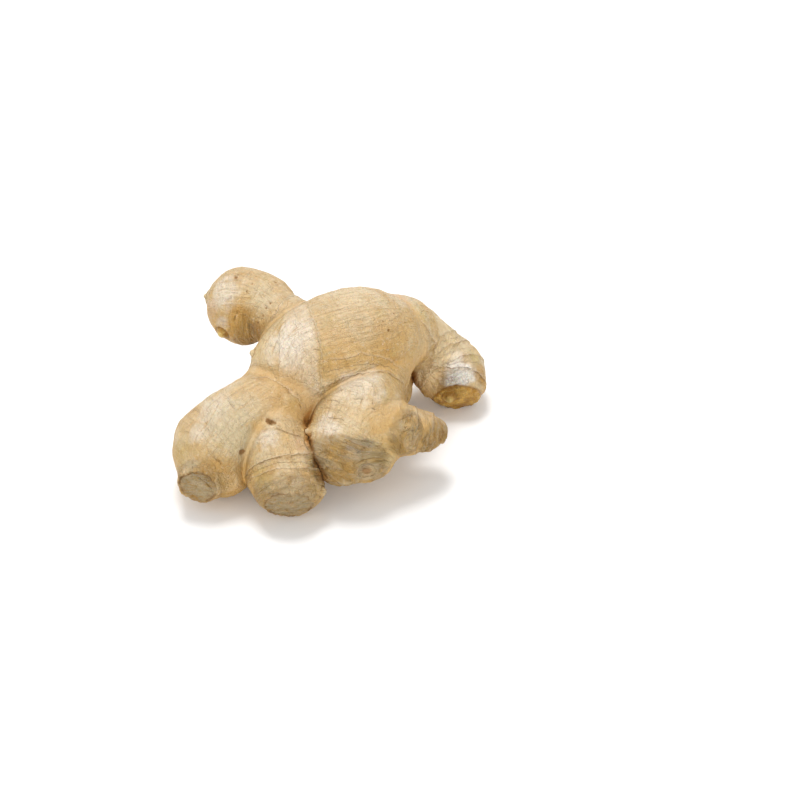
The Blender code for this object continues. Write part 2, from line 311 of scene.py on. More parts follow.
# Dents with dark floors, by the photograph's points, with radius and depth in millimetres
DENTS = [
    ((242, 452), 1.1, 0.25),
    ((268, 421), 1.1, 0.35),
    ((272, 422.5), 1.0, 0.3),
    ((275, 423), 0.7, 0.2),
    ((266, 308), 0.5, 0.3),
    ((263, 316), 0.6, 0.3),
    ((258, 323), 0.5, 0.35),
    ((270, 303), 0.5, 0.3),
    ((247, 291), 0.4, 0.3),
    ((252, 283), 0.4, 0.3),
    ((236, 277), 0.8, 0.3),
    ((276, 281), 0.7, 0.3),
    ((291, 398), 0.4, 0.4),
    ((358, 481), 0.6, 0.5),
    ((394, 314), 0.5, 0.3),
    ((389, 330), 0.5, 0.3),
    ((406, 322), 0.5, 0.3),
    ((400, 334), 0.4, 0.3),
    ((383, 321), 0.4, 0.3),
    ((439, 440), 0.7, 0.2),
]
# The place and width of the rim round a dent, and its share of the depth
DENT_RIM = (1.5, 0.3)
DENT_RIM_SHARE = 0.3

# Tones of the skin, as the eye sees them in red, green and blue from 0 to 255
TAN = (206, 170, 112)
GREY_TAN = (208, 188, 148)
CREAM = (226, 204, 164)
# Pale pinkish skin, also laid on as painted sheen highlights
PALE_PINK_AND_SHEEN = (240, 227, 208)
# Pale silvery skin, made paler as a painted sheen
SILVER_AND_SHEEN = (246, 240, 228)
OCHRE = (190, 144, 74)
OLIVE = (196, 172, 106)
DEEP_GOLD = (216, 168, 78)
BUD_YELLOW = (244, 214, 134)
RUSSET = (172, 122, 66)
BROWN = (138, 90, 32)
ROSE = (216, 176, 136)
# A warm tone laid on undersides and shaded sides as painted bounce light
WARM_BOUNCE_LIGHT = (226, 176, 94)
# A pale warm tone laid on the right finger's shaded sides as painted light
GLOW_PAINTED_LIGHT = (248, 220, 170)
# A warm painted shade for crevices
CREVICE_SHADE = (178, 120, 52)
SEAM = (158, 104, 40)
GOLD_RIM = (170, 120, 44)
TORN = (204, 182, 142)
# How the eye's tones become amounts of light
GAMMA = 2.2

# Patches of tone: the photograph's point in their middle, radius in millimetres, tone and strength. The
# pale pink patches are partly pale skin and partly painted sheen highlights, the silver ones partly painted
# sheen, and the warm and glow ones painted light on shaded sides and undersides
PATCHES = [
    ((297, 335), 8.5, PALE_PINK_AND_SHEEN, 0.6),
    ((277, 345), 6.0, PALE_PINK_AND_SHEEN, 0.6),
    ((352, 294), 10.0, CREAM, 0.6),
    ((291, 355), 6.0, PALE_PINK_AND_SHEEN, 0.4),
    ((268, 352), 5.0, CREAM, 0.48),
    ((343, 315), 3.4, CREAM, 0.48),
    ((351, 326), 3.0, CREAM, 0.33),
    ((375, 293), 3.0, CREAM, 0.48),
    ((382, 305), 2.6, CREAM, 0.4),
    ((398, 296), 4.2, ROSE, 0.7),
    ((392, 342), 9.0, OCHRE, 0.35),
    ((350, 340), 14.0, OCHRE, 0.35),
    ((290, 385), 6.0, OCHRE, 0.5),
    ((262, 398), 7.0, OCHRE, 0.4),
    # Partly painted sheen highlights on the left lobe's upper side
    ((215, 410), 6.5, PALE_PINK_AND_SHEEN, 0.56),
    ((202, 430), 4.5, PALE_PINK_AND_SHEEN, 0.56),
    ((232, 440), 9.0, GREY_TAN, 0.8),
    ((190, 462), 4.0, CREAM, 0.48),
    ((218, 470), 6.5, OCHRE, 0.7),
    ((242, 472), 6.0, OCHRE, 0.4),
    ((250, 410), 6.0, GREY_TAN, 0.6),
    ((180, 450), 5.0, OLIVE, 0.35),
    # Partly painted sheen highlight on a lobe's upper left
    ((268, 438), 4.2, PALE_PINK_AND_SHEEN, 0.6),
    ((284, 467), 3.6, CREAM, 0.4),
    ((300, 445), 4.0, ROSE, 0.5),
    ((285, 436), 2.4, DEEP_GOLD, 0.4),
    ((300, 485), 6.0, OCHRE, 0.5),
    ((262, 478), 4.0, OLIVE, 0.4),
    ((290, 500), 9.0, CREAM, 0.6),
    ((360, 388), 8.5, PALE_PINK_AND_SHEEN, 0.5),
    ((350, 410), 8.0, CREAM, 0.4),
    # Partly painted sheen highlight on the middle finger's left shoulder
    ((325, 425), 5.0, PALE_PINK_AND_SHEEN, 0.69),
    ((318, 445), 4.5, CREAM, 0.56),
    ((352, 452), 3.2, PALE_PINK_AND_SHEEN, 0.48),
    ((365, 467), 2.2, RUSSET, 0.7),
    # Painted warm bounce light on the middle finger's lower side
    ((338, 465), 8.0, WARM_BOUNCE_LIGHT, 0.6),
    ((366, 448), 6.0, CREAM, 0.4),
    ((322, 462), 4.0, CREAM, 0.5),
    ((386, 452), 6.0, OLIVE, 0.35),
    # Painted warm bounce light on the thumb
    ((415, 433), 8.0, WARM_BOUNCE_LIGHT, 0.7),
    ((437, 440), 5.0, WARM_BOUNCE_LIGHT, 0.5),
    ((440, 437), 2.4, RUSSET, 0.6),
    ((428, 446), 3.5, RUSSET, 0.25),
    # Pale skin with a painted sheen on the right finger's cap
    ((452, 358), 5.0, PALE_PINK_AND_SHEEN, 0.73),
    ((457, 376), 7.0, SILVER_AND_SHEEN, 1.0),
    ((473, 358), 3.5, OLIVE, 0.8),
    ((464, 377), 4.5, SILVER_AND_SHEEN, 0.9),
    # Painted light on the right finger's shaded left side and top
    ((428, 366), 8.0, GLOW_PAINTED_LIGHT, 1.0),
    ((445, 342), 8.0, GLOW_PAINTED_LIGHT, 0.7),
    ((425, 385), 5.0, GLOW_PAINTED_LIGHT, 0.7),
    ((480, 374), 3.5, OCHRE, 0.7),
    ((440, 325), 6.0, CREAM, 0.4),
    ((420, 312), 3.5, OLIVE, 0.5),
    # Partly painted sheen highlight on the back lobe's upper left
    ((222, 292), 7.5, PALE_PINK_AND_SHEEN, 0.6),
    ((211, 312), 4.5, ROSE, 0.4),
    ((222, 322), 3.0, PALE_PINK_AND_SHEEN, 0.56),
    ((250, 318), 7.0, OCHRE, 0.9),
    # Painted warm bounce light on the back lobe's underside
    ((246, 334), 8.0, WARM_BOUNCE_LIGHT, 0.9),
    ((244, 312), 4.0, OCHRE, 0.6),
    ((228, 428), 10.0, GREY_TAN, 0.7),
    ((255, 329), 3.0, RUSSET, 0.7),
    ((262, 300), 7.0, GREY_TAN, 0.6),
]
PATCH_FADE = (0.45, 1.25)
# Bands of tone between two growth rings: the ring each starts and ends at, tone and strength
BANDS = [
    (1, 0, PALE_PINK_AND_SHEEN, 0.35),
    # Painted light on the right finger between two of its rings
    (11, 12, GLOW_PAINTED_LIGHT, 0.3),
    (12, 13, PALE_PINK_AND_SHEEN, 0.15),
]
BAND_EDGE = 1.2
# The outward direction's rise between which a band comes in
BAND_FADE = (-0.4, 0.4)
# Golden skin where young buds show: a point near the skin and radius
GOLD = [((-36.7, 11.2, 37.6), 2.8), ((48.8, 10.4, 6.2), 9.4)]
GOLD_FADE = (0.85, 1.05)
# Patches of tone elsewhere: wavelength, the noise's place, the level they start at, tone and strength
MOTTLES = (
    (11.0, 13, 0.12, GREY_TAN, 0.5),
    (9.0, 57, 0.2, CREAM, 0.55),
    (8.0, 91, 0.22, OCHRE, 0.5),
    (6.0, 131, 0.3, OLIVE, 0.35),
)
MOTTLE_EDGE = 0.3
# Painted light: skin that faces up gets a pale painted highlight and skin that faces down a warm painted
# bounce light. The tone's strength, and the outward direction's rise, or fall, between which it comes in
TOP_HIGHLIGHT = 0.2
TOP_HIGHLIGHT_FADE = (0.5, 0.95)
UNDER_BOUNCE_LIGHT = 0.5
UNDER_BOUNCE_FADE = (-0.35, 0.5)

# How far out from the skin other parts of the root are felt for, and how much each reach counts, for the
# painted shade in crevices
FEELERS = ((2.0, 0.3), (5.0, 0.4), (10.0, 0.3))

# Lamps: name, place and size in metres, and power in watts. All are turned to one point.
LAMPS = (
    ("key", (-0.08, 0.26, 0.9), 0.32, 5.2),
    ("front_fill", (0.1, -0.85, 0.4), 0.4, 1.8),
    ("left_fill", (-0.75, -0.45, 0.6), 0.6, 0.8),
)
LAMP_AIM = (0, 0, 0.02)
ROOM_LIGHT = 0.76
FLOOR_WHITE = 0.94
FLOOR_HALF = 3

# Where the middle of the finished root's box lies among the spines
MIDDLE = (3.4, -6.3, 0)


def spine(points):
    """Stations down a Catmull-Rom curve: centres, radii, tangents and the way left to the curve's end."""
    knots = np.array(points, float)
    ends = np.vstack([2 * knots[0] - knots[1], knots, 2 * knots[-1] - knots[-2]])
    stations = [knots[0]]
    for before, start, stop, after in zip(ends, ends[1:], ends[2:], ends[3:]):
        count = max(2, math.ceil(np.linalg.norm((stop - start)[:3]) / STATION_STEP))
        for t in np.linspace(0, 1, count + 1)[1:]:
            stations.append(0.5 * (2 * start + (stop - before) * t
                                   + (2 * before - 5 * start + 4 * stop - after) * t ** 2
                                   + (3 * start - before - 3 * stop + after) * t ** 3))
    stations = np.array(stations)
    centres, radii = stations[:, :3], stations[:, 3]
    tangents = np.gradient(centres, axis=0)
    tangents /= np.linalg.norm(tangents, axis=1)[:, None]
    steps = np.linalg.norm(np.diff(centres, axis=0), axis=1)
    along = np.concatenate([[0], np.cumsum(steps)])
    return {"centres": centres, "radii": radii, "tangents": tangents, "along": along - along[-1]}


SPINES = {name: spine(points) for name, points in FINGERS.items()}


def unit(vector):
    """The vector's direction, as one of length 1."""
    return np.array(vector, float) / np.linalg.norm(vector)


def sweep(points, name):
    """Distance from one finger's skin and the outward direction."""
    curve = SPINES[name]
    squares = (points ** 2).sum(1)[:, None] + (curve["centres"] ** 2).sum(1)
    gaps = np.sqrt(np.maximum(squares - 2 * points @ curve["centres"].T, 0))
    nearest = (gaps - curve["radii"]).argmin(1)
    offset = points - curve["centres"][nearest]
    reach = np.linalg.norm(offset, axis=1)
    distance = reach - curve["radii"][nearest]
    outward = offset / np.maximum(reach, 1e-9)[:, None]
    if name in BREAKS:
        facing = unit(BREAKS[name]["facing"])
        rounding = BREAKS[name]["rounding"]
        ahead = (points - BREAKS[name]["centre"]) @ facing
        step = (distance - ahead) / rounding
        flat = 1 / (1 + np.exp(np.clip(step, -50, 50)))
        distance = np.maximum(distance, ahead) + rounding * np.log1p(np.exp(-np.abs(step)))
        outward = outward * (1 - flat)[:, None] + facing * flat[:, None]
    return distance, outward


def melt(distances, directions, blend):
    """Smooth union of several skins: its distance, outward direction and each skin's share."""
    distances = np.array(distances)
    least = distances.min(0)
    shares = np.exp((least - distances) / blend)
    total = shares.sum(0)
    shares = shares / total
    outward = (shares[:, :, None] * np.array(directions)).sum(0)
    return least - blend * np.log(total), outward, shares


def skin(points):
    """Distance from the whole root's smooth skin, its outward direction and each finger's share."""
    swept = {name: sweep(points, name) for name in FINGERS}
    families = [melt([swept[n][0] for n in family], [swept[n][1] for n in family], FORK_BLEND)
                for family in FAMILIES]
    distance, outward, halves = melt([f[0] for f in families], [f[1] for f in families], CREASE_BLEND)
    shares = dict.fromkeys(FINGERS, 0)
    for family, (_, _, own), half in zip(FAMILIES, families, halves):
        for name, share in zip(family, own):
            shares[name] = shares[name] + half * share
    return distance, outward, shares


def growth(points, shares):
    """The grain: each point's way along its finger and across it. Also how far one finger alone rules."""
    grain = np.zeros((len(points), 3))
    for name, curve in SPINES.items():
        own = np.flatnonzero(shares[name] > LEAST_SHARE)
        if not len(own):
            continue
        gaps = np.linalg.norm(points[own][:, None] - curve["centres"], axis=2) - curve["radii"]
        weights = np.exp((gaps.min(1)[:, None] - gaps) / GRAIN_BLEND)
        weights /= weights.sum(1)[:, None]
        offset = points[own] - weights @ curve["centres"]
        tangent = weights @ curve["tangents"]
        tangent /= np.linalg.norm(tangent, axis=1)[:, None]
        ahead = (offset * tangent).sum(1)
        side = np.cross(tangent, unit(SIDEWAYS))
        side /= np.linalg.norm(side, axis=1)[:, None]
        ways = np.stack([weights @ curve["along"] + ahead, (offset * side).sum(1),
                         (offset * np.cross(tangent, side)).sum(1)], 1)
        grain[own] += shares[name][own][:, None] * ways
    alone = np.max([sum(shares[name] for name in twins) for twins in TWINS], axis=0)
    return grain, fade(alone, *ALONE_FADE)


def settled(points):
    """The points moved onto the smooth skin."""
    points = np.array(points, float)
    for _ in range(SETTLING_STEPS):
        distance, outward = skin(points)[:2]
        points = points - outward * distance[:, None]
    return points


def seen(picture_points):
    """The places on the smooth skin that the photograph shows at its points."""
    picture_points = np.array(picture_points, float)
    forward = np.array([0, math.cos(VIEW_RISE), -math.sin(VIEW_RISE)])
    up = np.array([0, math.sin(VIEW_RISE), math.cos(VIEW_RISE)])
    half = PICTURE_WIDTH / 2
    rays = (forward * POINTS_PER_MM * VIEW_DISTANCE
            + (picture_points[:, :1] - half) * np.array([1.0, 0, 0]) + (half - picture_points[:, 1:]) * up)
    rays /= np.linalg.norm(rays, axis=1)[:, None]
    places = VIEW_TARGET - forward * VIEW_DISTANCE + rays * (VIEW_DISTANCE - SIGHT_START)
    for _ in range(SIGHT_STEPS):
        places = places + rays * (SIGHT_STRIDE * skin(places)[0])[:, None]
    return places


def lumps(points, place, wavelength):
    """Soft random swellings between about -1 and 1, the same each time for one place in the noise."""
    return np.array([noise.noise(Vector(p / wavelength)) for p in points + place])


def fade(x, low, high):
    """Goes smoothly from 0 at low to 1 at high."""
    t = np.clip((x - low) / (high - low), 0, 1)
    return t * t * (3 - 2 * t)


def within(x, near, far):
    """Stays 1 up to near and goes smoothly to 0 at far."""
    return fade(-x, -far, -near)


def swelling(x, middle, width):
    """Is 1 at its middle and dies away over its width."""
    return np.exp(-((x - middle) / width) ** 2)


def tears(coarse, fine, amounts):
    """Coarse and fine tears together, each by its amount."""
    return amounts[0] * coarse + amounts[1] * fine


def rings(points, shares, wander):
    """Each point's way past its nearest ring, how strong and brown the ring is, and the lips' height."""
    nearest = np.full(len(points), RING_REACH)
    strength = np.zeros(len(points))
    brown = np.zeros(len(points))
    height = np.zeros(len(points))
    frayed = np.clip(1 + RING_FRAY * lumps(points, *RING_FRAYING), *FRAY_LIMITS)
    for names, centre, facing, size, dark, reach in RINGS:
        past = (points - centre) @ unit(facing) + wander
        share = sum(shares[name] for name in names) ** 2
        share = share * np.exp(-(np.linalg.norm(points - centre, axis=1) / reach) ** 4)
        drop = (1 + RING_GROOVE) * swelling(past, 0, RING_DROP)
        groove = RING_GROOVE * swelling(past, 0, 2 * RING_DROP)
        lip = np.where(past < 0, np.exp(np.minimum(past, 0) / RING_RISE), drop - groove)
        height += size * lip * share * frayed
        closer = (np.abs(past) < np.abs(nearest)) & (share > RING_LEAST)
        nearest = np.where(closer, past, nearest)
        strength = np.where(closer, share, strength)
        brown = np.where(closer, dark * share, brown)
    return nearest, strength, brown, height


def broken_ends(points):
    """Relief of the broken ends, and each point's way out from the middle of its nearest one to the rim."""
    height = np.zeros(len(points))
    way_out = np.full(len(points), FAR_OUT)
    coarse, fine = lumps(points, *COARSE_TEARS), lumps(points, *FINE_TEARS)
    for spot in BREAKS.values():
        away = points - spot["centre"]
        ahead = away @ unit(spot["facing"])
        out = np.linalg.norm(away, axis=1) / spot["radius"] + tears(coarse, fine, END_SWAY)
        near = swelling(ahead, 0, END_REACH)
        height -= spot["hollow"] * near / (1 + np.exp((out - HOLLOW_EDGE) * HOLLOW_STEEPNESS))
        rim = END_RIM_HEIGHT + tears(coarse, fine, END_RIM_TEARS)
        height += rim * near * swelling(out, *END_RIM)
        face = spot["torn"] * tears(coarse, fine, END_FACE_TEARS)
        height += face * near * within(out, *TEAR_FADE)
        height += spot["swollen"] * near * np.maximum(1 - out ** 2, 0)
        way_out = np.where(near > END_NEARNESS, np.minimum(way_out, out), way_out)
    return height, way_out


def scars(points):
    """Relief of the round scars, and each point's way out from the middle of its nearest one to the rim."""
    height = np.zeros(len(points))
    way_out = np.full(len(points), FAR_OUT)
    coarse, fine = lumps(points, *COARSE_TEARS), lumps(points, *FINE_TEARS)
    for centre, radius, size, sunk in SCARS:
        out = np.linalg.norm(points - settled([centre]), axis=1) / radius + tears(coarse, fine, SCAR_SWAY)
        rim = SCAR_RIM_HEIGHT + tears(coarse, fine, SCAR_RIM_TEARS)
        height += size * rim * swelling(out, *SCAR_RIM)
        height -= sunk / (1 + np.exp((out - SCAR_FLOOR_EDGE) * SCAR_FLOOR_STEEPNESS))
        outer_rim = SCAR_OUTER_HEIGHT + SCAR_OUTER_TEARS * coarse
        height += SCAR_FAINTER * size * outer_rim * swelling(out, *SCAR_OUTER_RIM)
        height += SCAR_FAINTER * size * swelling(out, *SCAR_EYE)
        way_out = np.minimum(way_out, out)
    return height, way_out


def knobs(points):
    """Relief of the knobs, and each point's way out from the tip of its nearest bud."""
    height = np.zeros(len(points))
    bud_out = np.full(len(points), FAR_OUT)
    for centre, radius, size in KNOBS:
        out = np.linalg.norm(points - settled([centre]), axis=1) / radius
        height += size * np.exp(-out ** KNOB_BLUNTNESS)
        if radius < BUD_RADIUS:
            height += BUD_FOOT_SHARE * size * swelling(out, *BUD_FOOT)
            bud_out = np.minimum(bud_out, out)
    return height, bud_out


def cracks(points, outward):
    """Relief of the cracks and dents, the way across the strongest crack, its strength and the dents'."""
    height = np.zeros(len(points))
    across = np.full(len(points), CRACK_FAR)
    strongest = np.zeros(len(points))
    dents = np.zeros(len(points))
    ragged = CRACK_WOBBLE_SIZE * lumps(points, *CRACK_WOBBLE)
    steps = np.linspace(0, 1, CRACK_MARKS + 1)[:-1, None]
    for path, width, depth in CRACKS:
        path = np.array(path, float)
        places = seen(np.concatenate([a + (b - a) * steps for a, b in zip(path, path[1:])]))
        ways = np.gradient(places, axis=0)
        ways /= np.linalg.norm(ways, axis=1)[:, None] + 1e-9
        low, high = places.min(0) - CRACK_SURROUNDINGS, places.max(0) + CRACK_SURROUNDINGS
        box = np.flatnonzero(((points > low) & (points < high)).all(1))
        offset = points[box][:, None] - places
        nearest = np.linalg.norm(offset, axis=2).argmin(1)
        offset = offset[np.arange(len(box)), nearest]
        way = ways[nearest]
        aside = (offset * np.cross(outward[box], way)).sum(1) + ragged[box]
        gap = np.linalg.norm(offset, axis=1)
        beyond = swelling((offset * way).sum(1), 0, CRACK_TAIL)
        lip = CRACK_LIP * swelling(aside, CRACK_LIP_PLACE * width, width)
        floor = CRACK_FLOOR * swelling(aside, 0, width)
        height[box] += depth * beyond * (lip - floor) * np.exp(-(gap / width / CRACK_SPAN) ** 4)
        # A crack 0.55 mm deep or more is dark at full strength
        strength = min(1, 2.2 * depth - 0.2) * beyond * np.exp(-(gap / width / CRACK_LINE_SPAN) ** 4)
        stronger = strength > strongest[box]
        across[box] = np.where(stronger, aside / width, across[box])
        strongest[box] = np.maximum(strength, strongest[box])
    for centre, radius, depth in DENTS:
        out = np.maximum((np.linalg.norm(points - seen([centre]), axis=1) + 2 * ragged) / radius, 0)
        height -= depth * np.exp(-out ** 3)
        height += DENT_RIM_SHARE * depth * swelling(out, *DENT_RIM)
        dents = np.maximum(dents, np.exp(-out ** 3))
    return height, across, strongest, dents


def folds(points, grain):
    """Relief of the wrinkles across the growth of some parts, and how wrinkled the skin is there."""
    amount = np.zeros(len(points))
    for middle, reach, size in WRINKLES:
        out = np.linalg.norm((points - middle) / np.array(reach, float), axis=1)
        amount = np.maximum(amount, size * within(out, *WRINKLE_FADE))
    warped = grain + FOLD_WARP_SIZE * lumps(points, *FOLD_WARP)[:, None]
    crest = 1 - FOLD_SHARPNESS * np.abs(lumps(warped / np.array(FOLD_SIZE), 0, 1))
    variety = np.clip(FOLD_HEIGHT + lumps(points, *FOLD_VARIETY), *FOLD_LIMITS)
    return amount * crest * variety, amount


def light(tone):
    """Amounts of red, green and blue light that the eye sees as the tone."""
    return (np.array(tone, float) / 255) ** GAMMA


def tones(points, outward, shares, wander):
    """The skin's colour at each point, with painted highlights and painted bounce light laid over it in
    places.
    """
    colour = np.tile(light(TAN), (len(points), 1))
    for wavelength, place, level, tone, strength in MOTTLES:
        amount = strength * fade(lumps(points, place, wavelength), level, level + MOTTLE_EDGE)
        colour += (light(tone) - colour) * amount[:, None]
    for first, last, tone, strength in BANDS:
        names, centre, facing = RINGS[first][:3]
        start = (points - centre) @ unit(facing) + wander
        stop = (points - RINGS[last][1]) @ unit(RINGS[last][2]) + wander
        amount = strength * fade(start, 0, BAND_EDGE) * fade(-stop, 0, BAND_EDGE)
        amount *= sum(shares[name] for name in names) * fade(outward[:, 2], *BAND_FADE)
        colour += (light(tone) - colour) * amount[:, None]
    ragged = PATCH_SWAY_SIZE * lumps(points, *PATCH_SWAY)
    ragged += PATCH_FRINGE_SIZE * lumps(points, *PATCH_FRINGE)
    middles = seen([patch[0] for patch in PATCHES])
    for middle, (_, radius, tone, strength) in zip(middles, PATCHES):
        out = np.linalg.norm(points - middle, axis=1) / radius + ragged
        amount = strength * within(out, *PATCH_FADE)
        colour += (light(tone) - colour) * amount[:, None]
    # Painted highlight on skin that faces up, and painted warm bounce light on skin that faces down
    colour += (light(PALE_PINK_AND_SHEEN) - colour) * (TOP_HIGHLIGHT * fade(outward[:, 2], *TOP_HIGHLIGHT_FADE))[:, None]
    colour += (light(WARM_BOUNCE_LIGHT) - colour) * (UNDER_BOUNCE_LIGHT * fade(-outward[:, 2], *UNDER_BOUNCE_FADE))[:, None]
    return colour


def near_gold(points):
    """How golden the skin is at each point."""
    strongest = np.zeros(len(points))
    for centre, radius in GOLD:
        out = np.linalg.norm(points - settled([centre]), axis=1) / radius
        strongest = np.maximum(strongest, within(out, *GOLD_FADE))
    return strongest


# The material paints shade in crevices by this measure
def crevice_shade_mask(points, outward):
    """How much of the open air just outside each point other parts of the root take up, from 0 to 1."""
    total = np.zeros(len(points))
    for way, weight in FEELERS:
        total += weight * np.clip(1 - skin(points + outward * way)[0] / way, 0, 1)
    return total


def rough_finger(mesh, name):
    """Bends a ball into the finger's rough form: round caps at both ends of the spine."""
    curve = SPINES[name]
    first, last = curve["radii"][0], curve["radii"][-1]
    length = -curve["along"][0]
    made = bmesh.ops.create_uvsphere(mesh, u_segments=28, v_segments=36, radius=1)
    for vertex in made["verts"]:
        way = -first + (vertex.co.z + 1) / 2 * (first + length + last)
        station = int(np.abs(curve["along"] - (way - length)).argmin())
        over = way - length if way > length else min(way, 0)
        radius = math.sqrt(max(curve["radii"][station] ** 2 - over ** 2, 0))
        tangent = Vector(curve["tangents"][station])
        side = tangent.cross(Vector(SIDEWAYS)).normalized()
        around = math.atan2(vertex.co.y, vertex.co.x)
        spoke = side * math.cos(around) + tangent.cross(side) * math.sin(around)
        pole = math.hypot(vertex.co.x, vertex.co.y) < 1e-6
        vertex.co = Vector(curve["centres"][station]) + tangent * over + spoke * (0 if pole else radius)


def linked(name, mesh):
    """A new object in the scene with the bmesh's shape."""
    data = bpy.data.meshes.new(name)
    mesh.to_mesh(data)
    mesh.free()
    obj = bpy.data.objects.new(name, data)
    bpy.context.scene.collection.objects.link(obj)
    return obj


def baked(obj):
    """Applies the object's modifiers."""
    graph = bpy.context.evaluated_depsgraph_get()
    obj.data = bpy.data.meshes.new_from_object(obj.evaluated_get(graph))
    obj.modifiers.clear()


def corners_of(obj):
    """The places of the object's vertices, a row each."""
    points = np.empty(len(obj.data.vertices) * 3)
    obj.data.vertices.foreach_get("co", points)
    return points.reshape(-1, 3)


def keep(obj, name, values):
    """Stores one number, or one vector, per vertex as an attribute."""
    kind = "FLOAT_VECTOR" if values.ndim == 2 else "FLOAT"
    attribute = obj.data.attributes.new(name, kind, "POINT")
    field = "vector" if values.ndim == 2 else "value"
    attribute.data.foreach_set(field, values.astype(np.float32).ravel())


def rhizome():
    """The whole root in full detail, with its attributes."""
    mesh = bmesh.new()
    for name in FINGERS:
        rough_finger(mesh, name)
    obj = linked("rhizome", mesh)
    voxels = obj.modifiers.new("Voxels", "REMESH")
    voxels.mode = "VOXEL"
    voxels.voxel_size = VOXEL
    baked(obj)
    points = settled(corners_of(obj))
    _, outward, shares = skin(points)
    outward /= np.linalg.norm(outward, axis=1)[:, None]
    grain, alone = growth(points, shares)
    wander = lumps(points, *RING_SWAY) + RING_WOBBLE_SIZE * lumps(points, *RING_WOBBLE)
    past, ring, brown, lips = rings(points, shares, wander)
    torn, way_out = broken_ends(points)
    scarred, eye_out = scars(points)
    crack_relief, crack_across, crack_strength, dents = cracks(points, outward)
    knob_relief, bud_out = knobs(points)
    fold_relief, wrinkled = folds(points, grain)
    height = sum(size * lumps(points, 0, wavelength) for wavelength, size in LUMPS)
    height += lips + torn + scarred + knob_relief + crack_relief + fold_relief
    marks = {
        "grain": grain,
        "alone": alone,
        "past_ring": past,
        "ring": ring,
        "ring_brown": brown,
        "way_out": way_out,
        "gold": near_gold(points),
        "eye_out": eye_out,
        "bud_out": bud_out,
        "crack_across": crack_across,
        "crack_strength": crack_strength,
        "dents": dents,
        "wrinkled": wrinkled,
        "tone": tones(points, outward, shares, wander),
        "crevice_shade_mask": crevice_shade_mask(points, outward),
    }
    for name, values in marks.items():
        keep(obj, name, values)
    points = points + outward * height[:, None]
    points[:, 2] = np.maximum(points[:, 2], 0)
    points = (points - MIDDLE) * MM
    obj.data.vertices.foreach_set("co", points.ravel())
    obj.data.update()
    obj.data.shade_smooth()
    return obj


class Wiring:
    """Adds nodes to one node tree and joins them."""

    def __init__(self, tree):
        self.tree = tree

    def feed(self, socket, value):
        """Joins another node's output to the socket, or sets the socket to a plain value."""
        if isinstance(value, bpy.types.NodeSocket):
            self.tree.links.new(value, socket)
        else:
            socket.default_value = value

    def add(self, kind, settings=(), **inputs):
        """A new node. An input is named as its socket is, or i and its number."""
        node = self.tree.nodes.new(kind)
        for name, value in dict(settings).items():
            setattr(node, name, value)
        for name, value in inputs.items():
            numbered = name[0] == "i" and name[1:].isdigit()
            self.feed(node.inputs[int(name[1:])] if numbered else node.inputs[name], value)
        return node

    def attribute(self, name, output="Fac"):
        """What the mesh keeps under the name."""
        return self.add("ShaderNodeAttribute", {"attribute_name": name}).outputs[output]

    def noise(self, where, scale, detail=3.0, roughness=0.55, distortion=0.0):
        node = self.add("ShaderNodeTexNoise", Vector=where, Scale=scale, Detail=detail,
                        Roughness=roughness, Distortion=distortion)
        return node.outputs["Fac"]

    def ramp(self, value, low, high, start=0.0, stop=1.0):
        """Goes smoothly from start to stop as the value goes from low to high."""
        node = self.add("ShaderNodeMapRange", {"interpolation_type": "SMOOTHSTEP"},
                        i0=value, i1=low, i2=high, i3=start, i4=stop)
        return node.outputs["Result"]

    def line(self, value, middle, far, near):
        """Is 0 where the value is far from the middle, and 1 where it is near."""
        return self.ramp(self.math("ABSOLUTE", self.math("SUBTRACT", value, middle)), far, near)

    def math(self, operation, a, b=0.0, clamp=False):
        settings = {"operation": operation, "use_clamp": clamp}
        return self.add("ShaderNodeMath", settings, i0=a, i1=b).outputs[0]

    def times(self, *values):
        product = values[0]
        for value in values[1:]:
            product = self.math("MULTIPLY", product, value)
        return product

    def plus(self, *values):
        total = values[0]
        for value in values[1:]:
            total = self.math("ADD", total, value)
        return total

    def mix(self, amount, below, above):
        """The colour below with an amount of the one above laid over it."""
        node = self.add("ShaderNodeMix", {"data_type": "RGBA", "clamp_factor": True})
        self.feed(node.inputs[0], amount)
        self.feed(node.inputs[6], below)
        self.feed(node.inputs[7], above)
        return node.outputs[2]

    def stretched(self, vector, scales):
        """The vector with each of its parts scaled."""
        return self.add("ShaderNodeVectorMath", {"operation": "MULTIPLY"}, i0=vector, i1=scales).outputs[0]


def paint(tone):
    """The tone as a colour for a shader's socket."""
    return (*light(tone), 1)


